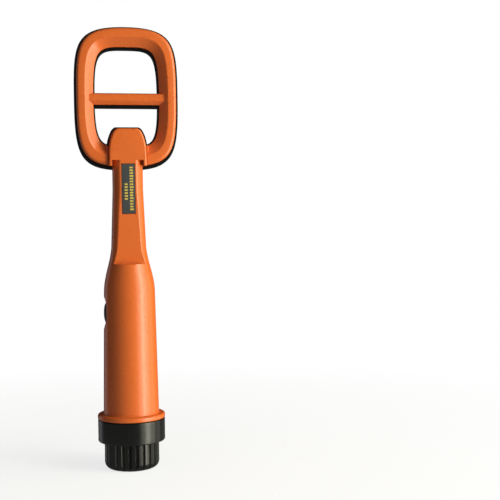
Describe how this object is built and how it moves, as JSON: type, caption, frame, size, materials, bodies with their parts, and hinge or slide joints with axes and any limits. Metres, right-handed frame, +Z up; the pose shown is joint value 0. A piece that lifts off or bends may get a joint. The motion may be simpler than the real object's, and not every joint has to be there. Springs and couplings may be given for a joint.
{
  "type": "pinpointer probe",
  "caption": "Hand-held pinpointer probe with a loop search head and crossbar, flat-fronted neck, tubular grip, side push button and ribbed screw battery cap.",
  "frame": {"origin": "centre of the screw cap's flat end, on which the probe stands upright", "axes": "+Z up along the grip towards the loop head; -Y is the front of the head and neck; the power button is on the -X side"},
  "size_m": [0.0712, 0.0464, 0.3041],
  "materials": {
    "orange_plastic": "satin moulded ABS",
    "black_plastic": "satin moulded ABS",
    "black_rubber": "matt",
    "label": "satin printed film, plain marks",
    "steel": "plated",
    "copper": "enamelled copper wire",
    "circuit_board": "solder mask on glass epoxy",
    "chip_black": "moulded epoxy",
    "natural_nylon": "natural nylon",
    "capacitor_sleeve": "shrink sleeve",
    "red_wire": "insulated wire",
    "battery_wrap": "plain printed wrap",
    "foam": "closed-cell foam"
  },
  "bodies": {
    "housing": {"grip_housing": "orange_plastic", "coil_ring_front": "orange_plastic", "head_rear_cover": "black_plastic", "head_gasket": "black_rubber", "search_coil": "copper", "label_plate": "label", "head_screw_1": "steel", "head_screw_2": "steel", "head_screw_3": "steel", "head_screw_4": "steel", "coil_lead_start": "red_wire", "coil_lead_finish": "chip_black", "board_frame": "natural_nylon", "main_board": "circuit_board", "coil_connector": "natural_nylon", "battery_connector": "natural_nylon", "detector_chip": "chip_black", "coil_driver": "chip_black", "filter_capacitor_1": "capacitor_sleeve", "filter_capacitor_2": "capacitor_sleeve", "sensing_resistor_block": "chip_black", "buzzer": "chip_black", "vibration_motor": "steel", "power_switch_body": "chip_black", "battery": "battery_wrap", "battery_terminal_plus": "steel", "battery_terminal_minus": "steel", "snap_connector": "chip_black", "battery_lead_red": "red_wire", "battery_lead_black": "chip_black", "cap_o_ring": "black_rubber"},
    "button": {"button_cap": "black_rubber"},
    "switch_plunger": {"power_switch_plunger": "natural_nylon"},
    "cap_follower": {"thrust_disc": "natural_nylon", "battery_pad": "foam"},
    "cap": {"cap_shell": "black_plastic"},
    "motor_shaft": {"vibration_weight": "steel"}
  },
  "joints": [
    {"name": "button_press", "type": "slide", "parent": "housing", "child": "button", "axis": [1, 0, 0], "range_m": [0, 0.0009], "stiffness_N_per_m": 1500, "springref_m": -0.0003},
    {"name": "switch_travel", "type": "slide", "parent": "housing", "child": "switch_plunger", "axis": [1, 0, 0], "range_m": [0, 0.0009]},
    {"name": "cap_travel", "type": "slide", "parent": "housing", "child": "cap_follower", "axis": [0, 0, -1], "range_m": [0, 0.014]},
    {"name": "cap_unscrew", "type": "hinge", "parent": "cap_follower", "child": "cap", "pos_m": [0, 0, 0.016], "axis": [0, 0, -1], "range_deg": [0, 840]},
    {"name": "motor_spin", "type": "hinge", "parent": "housing", "child": "motor_shaft", "pos_m": [0.0001, -0.0056, 0.09], "axis": [0, 0, 1], "continuous": true}
  ],
  "couplings": [
    {"joint": "switch_travel", "follows": "button_press", "ratio": 1},
    {"joint": "cap_unscrew", "follows": "cap_travel", "rad_per_m": 1047.2}
  ]
}
